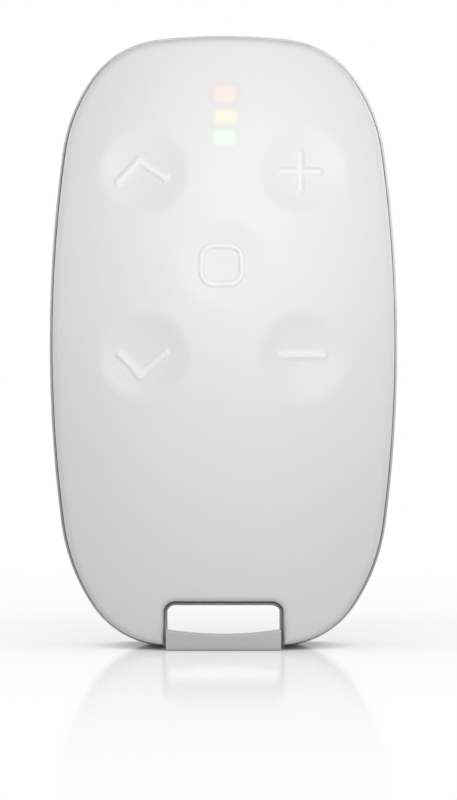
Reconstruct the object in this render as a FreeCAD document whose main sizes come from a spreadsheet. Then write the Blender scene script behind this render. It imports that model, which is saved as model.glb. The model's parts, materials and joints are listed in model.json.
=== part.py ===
import FreeCAD, Part
import math
import os

import Sketcher

# Alarm remote control: a hand-held fob with a white soft-touch front cover, five sprung keys in round
# dished wells, three status lights behind the cover, and a rear housing whose lower end is a keyring
# bar. It stands on that bar. X runs across, Z along the length, and the front faces -Y. The origin is
# the middle of the resting face, and Y = 0 is the plane where the two halves of the case meet.

Vector = FreeCAD.Vector

SIZES = {
    # outline of the rear housing, seen from the front
    "length": 66.7,
    "width": 38.0,
    "widest_drop": 0.15,
    "base_flat": 12.0,
    "top_radius": 61.0,
    "side_radius": 153.0,
    "bottom_radius": 92.0,
    "top_turn": 6.8,
    "shoulder_turn": 48.0,
    "cheek_turn": 27.4,
    "jaw_turn": 26.6,
    "heel_turn": 51.8,
    "bottom_turn": 4.2,
    # depth of each half and the curves of the two pillowed faces
    "front_depth": 6.5,
    "back_depth": 6.5,
    "front_cross_radius": 75.0,
    "front_long_radius": 220.0,
    "back_cross_radius": 150.0,
    "back_long_radius": 900.0,
    # walls of the shells
    "lip_width": 0.24,
    "seam_gap": 0.16,
    "seam_depth": 0.6,
    "cover_taper": 0.32,
    "cover_edge": 0.6,
    "cover_wall": 1.0,
    "cover_face": 1.0,
    "notch_edge": 0.4,
    "shell_gap": 0.05,
    "frame_wall": 0.9,
    "frame_face": 1.1,
    "rear_wall": 2.2,
    "rear_face": 1.4,
    "rear_edge": 1.2,
    # keyring opening and bar
    "opening_width": 12.44,
    "opening_top": 4.5,
    "opening_corner": 0.95,
    "bar_height": 1.85,
    "bar_rise": 0.5,
    "bar_reach": 4.1,
    "bar_side_gap": 0.02,
    "bar_edge": 0.35,
    "bar_slope": 6.6,
    "bar_clearing": 1.5,
    # sealing cord between the halves
    "seal_width": 0.4,
    "seal_height": 0.7,
    "seal_side_gap": 0.05,
    # keys
    "key_from_side": 10.5,
    "upper_key_from_top": 15.1,
    "centre_key_from_top": 25.0,
    "lower_key_from_top": 35.0,
    "key_diameter": 9.4,
    "key_gap": 0.06,
    "dish_diameter": 8.8,
    "dish_depth": 0.75,
    "centre_dish_depth": 0.4,
    "key_floor": 0.8,
    "key_travel": 0.35,
    "key_spare": 0.1,
    "post_diameter": 3.0,
    "post_gap": 0.1,
    "well_gap": 0.2,
    "well_wall": 0.9,
    "well_floor": 0.8,
    # raised signs on the keys
    "sign_height": 0.3,
    "stroke_width": 0.85,
    "chevron_width": 5.2,
    "chevron_rise": 2.4,
    "bar_sign_width": 4.6,
    "ring_width": 5.4,
    "ring_height": 4.9,
    "ring_corner": 1.5,
    "ring_stroke": 0.7,
    # circuit board and what it carries
    "board_thickness": 1.0,
    "board_gap": 0.2,
    "switch_side": 4.5,
    "switch_height": 1.5,
    "plunger_diameter": 2.2,
    "plunger_height": 0.5,
    "plunger_seat": 0.4,
    "plunger_gap": 0.05,
    "controller_side": 5.0,
    "controller_height": 0.9,
    "radio_side": 4.0,
    "radio_height": 0.8,
    "chip_spread": 11.0,
    "chip_rise": 4.85,
    "crystal_length": 3.2,
    "crystal_width": 2.5,
    "crystal_thickness": 0.7,
    "antenna_end_gap": 1.3,
    "antenna_strip": 0.3,
    "antenna_stand": 2.4,
    "antenna_foot": 1.2,
    "antenna_leg": 1.2,
    "antenna_from_top": 7.1,
    # status lights
    "red_light_from_top": 6.7,
    "yellow_light_from_top": 9.2,
    "green_light_from_top": 11.5,
    "light_width": 2.3,
    "light_height": 1.5,
    "light_skin": 0.45,
    "light_gap": 0.08,
    "lamp_width": 1.6,
    "lamp_height": 0.8,
    "lamp_thickness": 0.6,
    "guide_air": 0.1,
    "guide_web": 0.6,
    "guide_web_width": 5.0,
    # coin cell, its holder and contacts
    "cell_diameter": 20.0,
    "cell_thickness": 3.2,
    "cell_height_on_board": 29.0,
    "cell_lift": 0.5,
    "cell_cap_step": 0.4,
    "cell_cap_inset": 1.2,
    "holder_gap": 0.25,
    "holder_wall": 0.9,
    "holder_height": 2.1,
    "holder_slot": 4.6,
    "contact_sheet": 0.2,
    "contact_width": 4.0,
    "contact_foot": 1.5,
    "contact_rise": 3.0,
    "spring_length": 7.0,
    "spring_width": 3.0,
    "spring_flat": 1.75,
    # battery cover with its bayonet
    "lid_radius": 12.0,
    "lid_gap": 0.12,
    "lid_seat": 4.95,
    "spigot_radius": 11.2,
    "spigot_wall": 0.7,
    "spigot_reach": 1.45,
    "lug_width": 4.0,
    "lug_height": 0.55,
    "lug_slot_gap": 0.4,
    "ledge_thickness": 0.4,
    "ledge_gap": 0.05,
    "lid_seal_gap": 0.06,
    "lid_seal_space": 0.45,
    "well_ring_wall": 1.0,
    "well_ring_reach": 1.6,
    "coin_slot_length": 10.0,
    "coin_slot_width": 1.6,
    "coin_slot_depth": 0.6,
    "lid_turn": 30.0,
    # case screws
    "upper_screw_from_side": 10.0,
    "upper_screw_from_top": 6.4,
    "lower_screw_from_side": 6.8,
    "lower_screw_height": 11.5,
    "screw_radius": 0.8,
    "screw_play": 0.03,
    "screw_head_radius": 1.4,
    "screw_head_height": 1.0,
    "screw_head_gap": 0.15,
    "screw_seat": 3.4,
    "screw_reach": 1.6,
    "pillar_radius": 2.5,
    "pillar_nose_radius": 1.5,
    "pillar_nose_gap": 0.1,
    "boss_radius": 2.1,
    "pilot_spare": 0.3,
    "drive_length": 2.2,
    "drive_width": 0.35,
    "drive_depth": 0.5,
    # where two still pieces touch
    "touch_gap": 0.02,
}

LUGS = 3
# How far cutting tools run past a face, and past the whole case.
PAST = 1.0
FAR = 12.0
# Degrees that the tool for a pillowed face turns, about an axis some 70 mm away.
PILLOW_SWEEP = 60.0
# Tolerance for finding edges and points by where they lie.
NEAR = 0.01

doc = FreeCAD.newDocument("AlarmRemote")
sheet = doc.addObject("Spreadsheet::Sheet", "Sizes")
for row, (alias, number) in enumerate(SIZES.items(), start=1):
    sheet.set(f"A{row}", alias)
    sheet.set(f"B{row}", str(number))
    sheet.setAlias(f"B{row}", alias)
doc.recompute()

nodes = {}


# Expressions. Every size below is text that the document works out from the sheet.

def of(text):
    """Turn $name into a reference to the sheet's cell of that name."""
    return text.replace("$", "Sizes.")


def value(text):
    """The present value of an expression, in millimetres or degrees."""
    return float(sheet.evalExpression(of(text)))


def bind(thing, **expressions):
    for name, text in expressions.items():
        thing.setExpression(name.replace("__", "."), of(text))


def place(thing, x="0", y="0", z="0"):
    bind(thing, Placement__Base__x=x, Placement__Base__y=y, Placement__Base__z=z)


HALF = "$width / 2"
MIDDLE = "$length / 2"
WIDEST = f"({MIDDLE} - $widest_drop)"
BASE_DROP = "($bottom_radius - sqrt(pow($bottom_radius; 2) - pow($base_flat / 2; 2)))"
COVER_INSET = "($lip_width + $seam_gap)"
COVER_INNER = f"({COVER_INSET} + $cover_wall)"
FRAME_INSET = f"({COVER_INNER} + $shell_gap)"
FRAME_INNER = f"({FRAME_INSET} + $frame_wall)"
FRAME_DEEP = "($cover_face + $shell_gap + $frame_face)"
SEAL_INSET = f"({FRAME_INSET} + $seal_side_gap)"
BOARD_BACK = "$board_thickness"
HOLDER_BACK = f"({BOARD_BACK} + $holder_height)"
PLUNGER_TOP = "($switch_height + $plunger_height)"
CELL_FRONT = "($board_thickness + $cell_lift)"
CELL_BACK = f"({CELL_FRONT} + $cell_thickness)"
OPENING_HALF = "($opening_width / 2)"
BAR_END = "($bar_height + $bar_rise)"
WINDOW_WIDTH = "($light_width + 2 * $light_gap)"
WINDOW_HEIGHT = "($light_height + 2 * $light_gap)"
LEDGE_BACK = "($lid_seat - $lid_seal_space)"
LEDGE_FRONT = f"({LEDGE_BACK} - $ledge_thickness)"
SCREW_HEAD_BACK = "($screw_seat + $screw_head_height)"
UPPER_SCREW = (f"({HALF} - $upper_screw_from_side)", "($length - $upper_screw_from_top)")
LOWER_SCREW = (f"({HALF} - $lower_screw_from_side)", "$lower_screw_height")
CHIP_LEVEL = f"(({UPPER_SCREW[1]} + $cell_height_on_board) / 2 + $chip_rise)"


def face_y(side, x, z, below="0"):
    """Y of the front or back pillowed face at x, z, or of a face that lies evenly below it."""
    cross = f"${side}_cross_radius"
    along = f"${side}_long_radius"
    reach = f"({cross} - {along} + sqrt(pow({along} - ({below}); 2) - pow({z} - {MIDDLE}; 2)))"
    depth = f"(sqrt(pow({reach}; 2) - pow({x}; 2)) - {cross} + ${side}_depth)"
    return f"(-{depth})" if side == "front" else depth


def front_normal(x, z):
    """The three parts of the unit vector that points out of the front face at x, z."""
    rise = f"(({z} - {MIDDLE}) / $front_long_radius)"
    lean = f"sqrt(1 - pow({rise}; 2))"
    reach = f"($front_cross_radius - $front_long_radius + $front_long_radius * {lean})"
    return f"({lean} * ({x}) / {reach})", f"(-{lean} * sqrt(1 - pow(({x}) / {reach}; 2)))", rise


# Sketches and features.

def new_body(name):
    return doc.addObject("PartDesign::Body", name)


def origin_feature(body, role):
    return next(item for item in body.Origin.OriginFeatures if item.Role == role)


def new_sketch(body, name, role="XZ_Plane", **offsets):
    """A sketch on an origin plane. On XZ_Plane its third axis points to -Y, on YZ_Plane to +X."""
    sketch = body.newObject("Sketcher::SketchObject", name)
    sketch.AttachmentSupport = [(origin_feature(body, role), "")]
    sketch.MapMode = "FlatFace"
    for axis, text in offsets.items():
        sketch.setExpression(f".AttachmentOffset.Base.{axis}", of(text))
    return sketch


def hold(sketch, constraint, text):
    index = sketch.addConstraint(constraint)
    sketch.setExpression(f"Constraints[{index}]", of(text))


def pin_along(sketch, kind, item, point, text):
    """Hold one coordinate of a point. A distance is kept positive, so its two ends may swap."""
    distance = value(text)
    if abs(distance) < NEAR * NEAR:
        axis = -2 if kind == "DistanceX" else -1
        sketch.addConstraint(Sketcher.Constraint("PointOnObject", item, point, axis))
    elif distance > 0:
        hold(sketch, Sketcher.Constraint(kind, -1, 1, item, point, distance), text)
    else:
        hold(sketch, Sketcher.Constraint(kind, item, point, -1, 1, -distance), f"-({text})")


def pin(sketch, item, point, x, y):
    pin_along(sketch, "DistanceX", item, point, x)
    pin_along(sketch, "DistanceY", item, point, y)


def draw_path(sketch, corners, arcs=()):
    """A closed outline through the named corners. arcs gives side number, bulge point and radius."""
    points = [Vector(value(x), value(y), 0) for x, y in corners]
    ends = points[1:] + points[:1]
    bulges = {side: (Vector(value(x), value(y), 0), radius) for side, (x, y), radius in arcs}
    for side, (start, end) in enumerate(zip(points, ends)):
        if side in bulges:
            sketch.addGeometry(Part.Arc(start, bulges[side][0], end))
        else:
            sketch.addGeometry(Part.LineSegment(start, end))

    def end_near(side, point):
        gaps = [(sketch.getPoint(side, end) - point).Length for end in (1, 2)]
        return 1 if gaps[0] < gaps[1] else 2

    for side, (start, (x, y)) in enumerate(zip(points, corners)):
        before = (side - 1) % len(points)
        here = end_near(side, start)
        sketch.addConstraint(Sketcher.Constraint("Coincident", before, end_near(before, start), side, here))
        pin(sketch, side, here, x, y)
    for side, (bulge, radius) in bulges.items():
        hold(sketch, Sketcher.Constraint("Radius", side, value(radius)), radius)


def draw_capsule(sketch, start, end, radius):
    """A stroke with round ends from start to end."""
    first = Vector(value(start[0]), value(start[1]), 0)
    last = Vector(value(end[0]), value(end[1]), 0)
    reach = value(radius)
    along = (last - first).normalize()
    side = Vector(-along.y, along.x, 0) * reach
    turn = math.atan2(side.y, side.x)
    up = Vector(0, 0, 1)
    sketch.addGeometry(Part.LineSegment(first - side, last - side))
    sketch.addGeometry(Part.ArcOfCircle(Part.Circle(last, up, reach), turn - math.pi, turn))
    sketch.addGeometry(Part.LineSegment(last + side, first + side))
    sketch.addGeometry(Part.ArcOfCircle(Part.Circle(first, up, reach), turn, turn + math.pi))
    for item in range(4):
        sketch.addConstraint(Sketcher.Constraint("Tangent", item, 2, (item + 1) % 4, 1))
    for item, (x, y) in ((1, end), (3, start)):
        pin(sketch, item, 3, x, y)
        hold(sketch, Sketcher.Constraint("Radius", item, reach), radius)


def draw_rounded_rectangle(sketch, half_width, low, high, radius, open_foot=False):
    """A rectangle about x = 0. With open_foot only its two upper corners are round."""
    wide, bottom, top, corner = value(half_width), value(low), value(high), value(radius)
    up = Vector(0, 0, 1)
    right_angle = math.pi / 2
    foot = 0 if open_foot else corner
    first = len(sketch.Geometry)
    parts = [
        Part.LineSegment(Vector(-wide + foot, bottom, 0), Vector(wide - foot, bottom, 0)),
        Part.LineSegment(Vector(wide, bottom + foot, 0), Vector(wide, top - corner, 0)),
        Part.ArcOfCircle(Part.Circle(Vector(wide - corner, top - corner, 0), up, corner), 0, right_angle),
        Part.LineSegment(Vector(wide - corner, top, 0), Vector(-wide + corner, top, 0)),
        Part.ArcOfCircle(
            Part.Circle(Vector(-wide + corner, top - corner, 0), up, corner), right_angle, math.pi),
        Part.LineSegment(Vector(-wide, top - corner, 0), Vector(-wide, bottom + foot, 0)),
    ]
    if not open_foot:
        parts.insert(1, Part.ArcOfCircle(
            Part.Circle(Vector(wide - corner, bottom + corner, 0), up, corner), -right_angle, 0))
        parts.append(Part.ArcOfCircle(
            Part.Circle(Vector(-wide + corner, bottom + corner, 0), up, corner), math.pi, 3 * right_angle))
    sketch.addGeometry(parts)
    rounds = [first + index for index, part in enumerate(parts) if isinstance(part, Part.ArcOfCircle)]
    for index in range(len(parts)):
        here, following = first + index, first + (index + 1) % len(parts)
        kind = "Tangent" if here in rounds or following in rounds else "Coincident"
        sketch.addConstraint(Sketcher.Constraint(kind, here, 2, following, 1))
    lines = [first + index for index in range(len(parts)) if first + index not in rounds]
    sketch.addConstraint(Sketcher.Constraint("Horizontal", lines[0]))
    sketch.addConstraint(Sketcher.Constraint("Vertical", lines[1]))
    if open_foot:
        sketch.addConstraint(Sketcher.Constraint("Horizontal", lines[2]))
        sketch.addConstraint(Sketcher.Constraint("Vertical", lines[3]))
    for item in rounds:
        hold(sketch, Sketcher.Constraint("Radius", item, corner), radius)
    pin_along(sketch, "DistanceX", lines[1], 1, half_width)
    pin_along(sketch, "DistanceX", lines[3], 1, f"-({half_width})")
    pin_along(sketch, "DistanceY", lines[0], 1, low)
    pin_along(sketch, "DistanceY", lines[2], 1, high)


def corner_radii(half, drop, turns, end_radius, side_radius):
    """Radii of the two arcs that join an end arc to a side arc, so that the quarter closes."""
    headings = [0, turns[0], turns[0] + turns[1], turns[0] + turns[1] + turns[2], 90]
    headings = [math.radians(angle) for angle in headings]
    out = [math.sin(b) - math.sin(a) for a, b in zip(headings, headings[1:])]
    down = [math.cos(a) - math.cos(b) for a, b in zip(headings, headings[1:])]
    left_out = half - end_radius * out[0] - side_radius * out[3]
    left_down = drop - end_radius * down[0] - side_radius * down[3]
    scale = out[1] * down[2] - out[2] * down[1]
    return ((left_out * down[2] - out[2] * left_down) / scale,
            (out[1] * left_down - left_out * down[1]) / scale)


def draw_outline(sketch, inset):
    """Half of the case outline, from the top down its +X side to the foot, and back up the middle."""
    half, length, widest = value(HALF), value("$length"), value(WIDEST)
    foot = -value(BASE_DROP)
    turns = [value(f"${name}_turn") for name in ("top", "shoulder", "cheek", "jaw", "heel", "bottom")]
    top, side, bottom = value("$top_radius"), value("$side_radius"), value("$bottom_radius")
    shoulder, cheek = corner_radii(half, length - widest, turns[:3], top, side)
    heel, jaw = corner_radii(half, widest - foot, turns[:2:-1], bottom, side)
    radii = [top, shoulder, cheek, side, jaw, heel, bottom]
    ends = [0, turns[0], sum(turns[:2]), sum(turns[:3])]
    ends += [180 - sum(turns[3:]), 180 - sum(turns[4:]), 180 - turns[5], 180]
    within = value(inset)
    x, z = 0.0, length - within
    for radius, start, end in zip(radii, ends, ends[1:]):
        radius -= within
        start, end = math.radians(start), math.radians(end)
        centre = Vector(x - radius * math.sin(start), z - radius * math.cos(start), 0)
        circle = Part.Circle(centre, Vector(0, 0, 1), radius)
        sketch.addGeometry(Part.ArcOfCircle(circle, math.pi / 2 - end, math.pi / 2 - start))
        x, z = centre.x + radius * math.sin(end), centre.y + radius * math.cos(end)
    sketch.addGeometry(Part.LineSegment(Vector(0, z, 0), Vector(0, length - within, 0)))
    for item in range(6):
        sketch.addConstraint(Sketcher.Constraint("Tangent", item, 1, item + 1, 2))
    sketch.addConstraint(Sketcher.Constraint("Coincident", 6, 1, 7, 1))
    sketch.addConstraint(Sketcher.Constraint("Coincident", 0, 2, 7, 2))
    for item, point in ((0, 3), (0, 2), (6, 3), (6, 1)):
        sketch.addConstraint(Sketcher.Constraint("PointOnObject", item, point, -2))
    pin_along(sketch, "DistanceY", 0, 2, f"$length - {inset}")
    pin_along(sketch, "DistanceY", 3, 3, WIDEST)
    pin_along(sketch, "DistanceX", 3, 3, f"{HALF} - $side_radius")
    tall = f"$length + {BASE_DROP} - 2 * {inset}"
    hold(sketch, Sketcher.Constraint("DistanceY", 6, 1, 0, 2, value(tall)), tall)
    for item, name in ((0, "top"), (3, "side"), (6, "bottom")):
        text = f"${name}_radius - {inset}"
        hold(sketch, Sketcher.Constraint("Radius", item, value(text)), text)
    for item, name in enumerate(("top", "shoulder", "cheek", "", "jaw", "heel", "bottom")):
        if name:
            angle = math.radians(value(f"${name}_turn"))
            hold(sketch, Sketcher.Constraint("Angle", item, angle), f"${name}_turn * 1 deg")


def mirror_half(body, feature):
    """Complete the half-outline solid on the -X side."""
    mirrored = body.newObject("PartDesign::Mirrored", "both_halves")
    mirrored.Originals = [feature]
    mirrored.MirrorPlane = (origin_feature(body, "YZ_Plane"), [""])
    body.Tip = mirrored
    return mirrored


def pad(body, sketch, length, both=False):
    """Raise a sketch towards -Y, or to both sides of its plane."""
    feature = body.newObject("PartDesign::Pad", "raised")
    feature.Profile = sketch
    feature.Midplane = both
    bind(feature, Length=length)
    return feature


def cut_notch(body, inset):
    """The keyring notch in the foot, widened by inset from the rear housing's opening."""
    sketch = new_sketch(body, "notch")
    draw_rounded_rectangle(sketch, f"{OPENING_HALF} + {inset}", f"-{MIDDLE}", f"$opening_top + {inset}",
                           f"$opening_corner + {inset}", open_foot=True)
    feature = body.newObject("PartDesign::Pocket", "notched")
    feature.Profile = sketch
    feature.Type = "ThroughAll"
    feature.Midplane = True
    doc.recompute()
    return feature


def cut_dome(body, side, below="0"):
    """Pillow the front or back: turn an arc about an upright axis inside the case."""
    sign = -1 if side == "front" else 1
    cross, along = f"${side}_cross_radius", f"${side}_long_radius"
    axis = f"{-sign} * ({cross} - ${side}_depth)"
    sketch = new_sketch(body, "pillow", "YZ_Plane", x=axis)
    centre = f"{sign} * ({cross} - {along})"
    radius = f"({along} - ({below}))"
    reach = f"sqrt(pow({radius}; 2) - pow({MIDDLE} + {FAR}; 2))"
    low, high = f"-{FAR}", f"$length + {FAR}"
    near = f"{centre} + {sign} * {reach}"
    far = f"{sign} * ({cross} + {FAR})"
    crest = (f"{centre} + {sign} * {radius}", MIDDLE)
    draw_path(sketch, [(near, low), (far, low), (far, high), (near, high)], [(3, crest, radius)])
    feature = body.newObject("PartDesign::Groove", "pillowed")
    feature.Profile = sketch
    feature.ReferenceAxis = (sketch, ["V_Axis"])
    feature.Angle = PILLOW_SWEEP
    feature.Midplane = True
    doc.recompute()
    return feature


def slab(name, inset, low, high, notch=None, dome=None, below="0"):
    """A body with the case outline, pulled in by inset, between two planes across Y."""
    body = new_body(name)
    sketch = new_sketch(body, "outline", z=f"-({high})")
    draw_outline(sketch, inset)
    mirror_half(body, pad(body, sketch, f"({high}) - ({low})"))
    doc.recompute()
    if dome:
        body.Tip = cut_dome(body, dome, below)
    if notch:
        body.Tip = cut_notch(body, notch)
    doc.recompute()
    return body


def edges_of(shape, wanted):
    return [f"Edge{index}" for index, edge in enumerate(shape.Edges, start=1) if wanted(edge)]


def fillet(body, base, names, radius):
    feature = body.newObject("PartDesign::Fillet", "rounded")
    feature.Base = (base, names)
    bind(feature, Radius=radius)
    body.Tip = feature
    doc.recompute()
    return feature


def pillow_edges(feature, side):
    """The rim of the pillowed face, which is the largest face on that side."""
    sign = -1 if side == "front" else 1
    faces = [face for face in feature.Shape.Faces if sign * face.CenterOfMass.y > 0]
    dome = max(faces, key=lambda face: face.Area)
    return edges_of(feature.Shape, lambda edge: any(edge.isSame(rim) for rim in dome.Edges))


# Plain solids and the ways to join them.

def rod(name, radius, low, high, x="0", z="0"):
    """A cylinder along Y."""
    item = doc.addObject("Part::Cylinder", name)
    item.Placement = FreeCAD.Placement(Vector(), FreeCAD.Rotation(Vector(1, 0, 0), -90))
    bind(item, Radius=radius, Height=f"({high}) - ({low})")
    place(item, x, low, z)
    return item


def tube(name, outer, inner, low, high, x="0", z="0"):
    return cut(name, rod(f"{name}_outside", outer, low, high, x, z),
               rod(f"{name}_bore", inner, f"({low}) - {PAST}", f"({high}) + {PAST}", x, z))


def block(name, wide, low, high, tall, x="0", z="0"):
    """A box centred on x, z and between two planes across Y."""
    item = doc.addObject("Part::Box", name)
    bind(item, Length=wide, Width=f"({high}) - ({low})", Height=tall)
    place(item, f"({x}) - ({wide}) / 2", low, f"({z}) - ({tall}) / 2")
    return item


def cut(name, base, *tools):
    item = doc.addObject("Part::Cut", name)
    item.Base = base
    item.Tool = tools[0] if len(tools) == 1 else fuse(f"{name}_tools", *tools)
    return item


def fuse(name, *pieces):
    item = doc.addObject("Part::MultiFuse", name)
    item.Shapes = list(pieces)
    item.Refine = True
    return item


def common(name, base, tool):
    item = doc.addObject("Part::Common", name)
    item.Base = base
    item.Tool = tool
    return item


def keep(label, thing, solids=1):
    """Name a finished sub-part and note how many solids it has."""
    thing.Label = label
    nodes[label] = (thing, solids)
    return thing


# Where things repeat.

KEY_X = f"({HALF} - $key_from_side)"
KEYS = {
    "up": (f"-{KEY_X}", "($length - $upper_key_from_top)"),
    "plus": (KEY_X, "($length - $upper_key_from_top)"),
    "centre": ("0", "($length - $centre_key_from_top)"),
    "down": (f"-{KEY_X}", "($length - $lower_key_from_top)"),
    "minus": (KEY_X, "($length - $lower_key_from_top)"),
}
LIGHTS = {name: f"($length - ${name}_light_from_top)" for name in ("red", "yellow", "green")}
SCREWS = {
    f"{level}_{side}": (f"{sign}{x}", z)
    for level, (x, z) in (("upper", UPPER_SCREW), ("lower", LOWER_SCREW))
    for side, sign in (("left", "-"), ("right", ""))
}


def dish_depth(name):
    """The middle key is dished less than the four round it."""
    return "$centre_dish_depth" if name == "centre" else "$dish_depth"


def key_underside(name):
    return f"({face_y('front', *KEYS[name])} + {dish_depth(name)} + $key_floor)"


def well_floor_front(name):
    return f"({key_underside(name)} + $key_travel + $key_spare)"


# The white front cover: a soft-touch shell with five round holes for the keys.

def cover_blank():
    body = new_body("cover_blank")
    rim = new_sketch(body, "rim")
    draw_outline(rim, COVER_INSET)
    crown = new_sketch(body, "crown", z="$front_depth + $cover_edge")
    draw_outline(crown, f"({COVER_INSET} + $cover_taper)")
    loft = body.newObject("PartDesign::AdditiveLoft", "tapered")
    loft.Profile = rim
    loft.Sections = [crown]
    loft.Ruled = True
    doc.recompute()
    mirror_half(body, loft)
    doc.recompute()
    dome = cut_dome(body, "front")
    fillet(body, dome, pillow_edges(dome, "front"), "$cover_edge")
    notched = cut_notch(body, COVER_INSET)
    side = value(f"{OPENING_HALF} + {COVER_INSET}") + NEAR
    top = value(f"$opening_top + {COVER_INSET}") + NEAR

    def on_notch_rim(edge):
        """The front edges of the notch run across it or up it, not from front to back."""
        box = edge.BoundBox
        across = max(box.XLength, box.ZLength) > box.YLength
        return across and max(-box.XMin, box.XMax) < side and box.YMax < -NEAR and box.ZMax < top

    fillet(body, notched, edges_of(notched.Shape, on_notch_rim), "$notch_edge")
    return body


def front_cover(blank):
    void = slab("cover_void", COVER_INNER, "-$front_depth", f"{PAST}", COVER_INNER, "front", "$cover_face")
    tools = [void]
    for name, (x, z) in KEYS.items():
        tools.append(rod(f"{name}_hole", "$key_diameter / 2", f"-$front_depth - {FAR}", "0", x, z))
    for name, z in LIGHTS.items():
        tip = f"{face_y('front', '0', z)} + $light_skin - $light_gap"
        tools.append(block(f"{name}_window", WINDOW_WIDTH, tip, "0", WINDOW_HEIGHT, "0", z))
    return keep("front_cover", cut("front_cover_shape", blank, *tools))


# The hard inner frame that carries the cover, with key wells and screw bosses.

def inner_frame():
    blank = slab("frame_blank", FRAME_INSET, "-$front_depth", "0", FRAME_INSET, "front",
                 "$cover_face + $shell_gap")
    space = slab("frame_space", FRAME_INNER, "-$front_depth", f"{PAST}", FRAME_INNER, "front", FRAME_DEEP)
    stays, holes = [], []
    for name, (x, z) in KEYS.items():
        floor = well_floor_front(name)
        well = "$key_diameter / 2 + $well_gap"
        stays.append(rod(f"{name}_well", f"{well} + $well_wall", "-$front_depth", f"{floor} + $well_floor",
                         x, z))
        holes.append(rod(f"{name}_well_bore", well, "-$front_depth", floor, x, z))
        holes.append(rod(f"{name}_post_bore", "$post_diameter / 2 + $post_gap", "-$front_depth", "0", x, z))
    for name, (x, z) in SCREWS.items():
        stays.append(rod(f"{name}_boss", "$boss_radius", "-$front_depth", f"{PAST}", x, z))
        holes.append(rod(f"{name}_pilot", "$screw_radius + $screw_play", "-$screw_reach - $pilot_spare",
                         f"{PAST}", x, z))
    for name, z in LIGHTS.items():
        holes.append(block(f"{name}_light_slot", WINDOW_WIDTH, "-$front_depth", "0", WINDOW_HEIGHT, "0", z))
    void = cut("frame_void", space, *stays)
    return keep("inner_frame", cut("inner_frame_shape", blank, void, *holes))


# Keys: a dished cap with a raised sign, and a post that reaches its switch.

def chevron(body, point_up):
    tip = "$chevron_rise / 2" if point_up else "-$chevron_rise / 2"
    ends = f"-({tip})"
    for side in ("-", ""):
        sketch = new_sketch(body, "stroke")
        draw_capsule(sketch, (f"{side}$chevron_width / 2", ends), ("0", tip), "$stroke_width / 2")
        pad(body, sketch, "$front_depth")


def bar_sign(body, upright):
    reach = "$bar_sign_width / 2"
    strokes = [((f"-{reach}", "0"), (reach, "0"))]
    if upright:
        strokes.append((("0", f"-{reach}"), ("0", reach)))
    for start, end in strokes:
        sketch = new_sketch(body, "stroke")
        draw_capsule(sketch, start, end, "$stroke_width / 2")
        pad(body, sketch, "$front_depth")


def ring_sign(body):
    sketch = new_sketch(body, "ring")
    for within in ("0", "$ring_stroke"):
        half, tall = f"$ring_width / 2 - {within}", f"$ring_height / 2 - {within}"
        draw_rounded_rectangle(sketch, half, f"-({tall})", tall, f"$ring_corner - {within}")
    pad(body, sketch, "$front_depth")


SIGNS = {
    "up": lambda body: chevron(body, True),
    "down": lambda body: chevron(body, False),
    "plus": lambda body: bar_sign(body, True),
    "minus": lambda body: bar_sign(body, False),
    "centre": ring_sign,
}


def key(name, blank):
    x, z = KEYS[name]
    depth, under = dish_depth(name), key_underside(name)
    bowl = f"((pow($dish_diameter / 2; 2) + pow({depth}; 2)) / (2 * {depth}))"
    rim = (x, face_y("front", x, z), z)
    centre = [f"{here} + {out} * ({bowl} - {depth})" for here, out in zip(rim, front_normal(x, z))]
    dish = doc.addObject("Part::Sphere", f"{name}_dish")
    inner = doc.addObject("Part::Sphere", f"{name}_dish_over_sign")
    for ball, radius in ((dish, bowl), (inner, f"{bowl} - $sign_height")):
        bind(ball, Radius=radius)
        place(ball, *centre)
    sign = new_body(f"{name}_sign")
    SIGNS[name](sign)
    place(sign, x, "0", z)
    drum = rod(f"{name}_drum", "$key_diameter / 2 - $key_gap", f"-$front_depth - {FAR}", under, x, z)
    cap = common(f"{name}_cap", drum, blank)
    dished = cut(f"{name}_dished", cap, cut(f"{name}_dish_around_sign", dish, sign), inner)
    post = rod(f"{name}_post", "$post_diameter / 2", under, f"-{PLUNGER_TOP}", x, z)
    return keep(f"{name}_key", fuse(f"{name}_key_shape", dished, post))


# Tactile switches: the housing is soldered to the board and its plunger moves with the key.

def switch(name):
    x, z = KEYS[name]
    shell = block(f"{name}_switch_case", "$switch_side", "-$switch_height", "0", "$switch_side", x, z)
    bore = rod(f"{name}_switch_bore", "$plunger_diameter / 2 + $plunger_gap", f"-$switch_height - {PAST}",
               "-$switch_height + $plunger_seat + $key_travel + $key_spare", x, z)
    keep(f"{name}_switch", cut(f"{name}_switch_shape", shell, bore))
    keep(f"{name}_switch_plunger", rod(f"{name}_plunger", "$plunger_diameter / 2", f"-{PLUNGER_TOP}",
                                       f"-$switch_height + $plunger_seat", x, z))


# Status lights: a lamp on the board for each, and one clear moulding that leads them to the cover.

def status_lights():
    web_back = "-$lamp_thickness - $guide_air"
    rods = [block("guide_web_block", "$guide_web_width", f"{web_back} - $guide_web", web_back,
                  f"{LIGHTS['red']} - {LIGHTS['green']} + $light_height", "0",
                  f"({LIGHTS['red']} + {LIGHTS['green']}) / 2")]
    for name, z in LIGHTS.items():
        keep(f"{name}_lamp", block(f"{name}_lamp_block", "$lamp_width", "-$lamp_thickness", "0",
                                   "$lamp_height", "0", z))
        rods.append(block(f"{name}_guide", "$light_width", f"{face_y('front', '0', z)} + $light_skin",
                          web_back, "$light_height", "0", z))
    keep("light_guide", fuse("light_guide_shape", *rods))


# The circuit board and its parts.

def circuit_board():
    inset = "($rear_wall + $board_gap)"
    blank = slab("board_blank", inset, "0", BOARD_BACK, inset)
    holes = [rod(f"{name}_board_hole", "$pillar_nose_radius + $pillar_nose_gap", f"-{PAST}",
                 f"{BOARD_BACK} + {PAST}", x, z) for name, (x, z) in SCREWS.items()]
    keep("circuit_board", cut("circuit_board_shape", blank, *holes))


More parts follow.
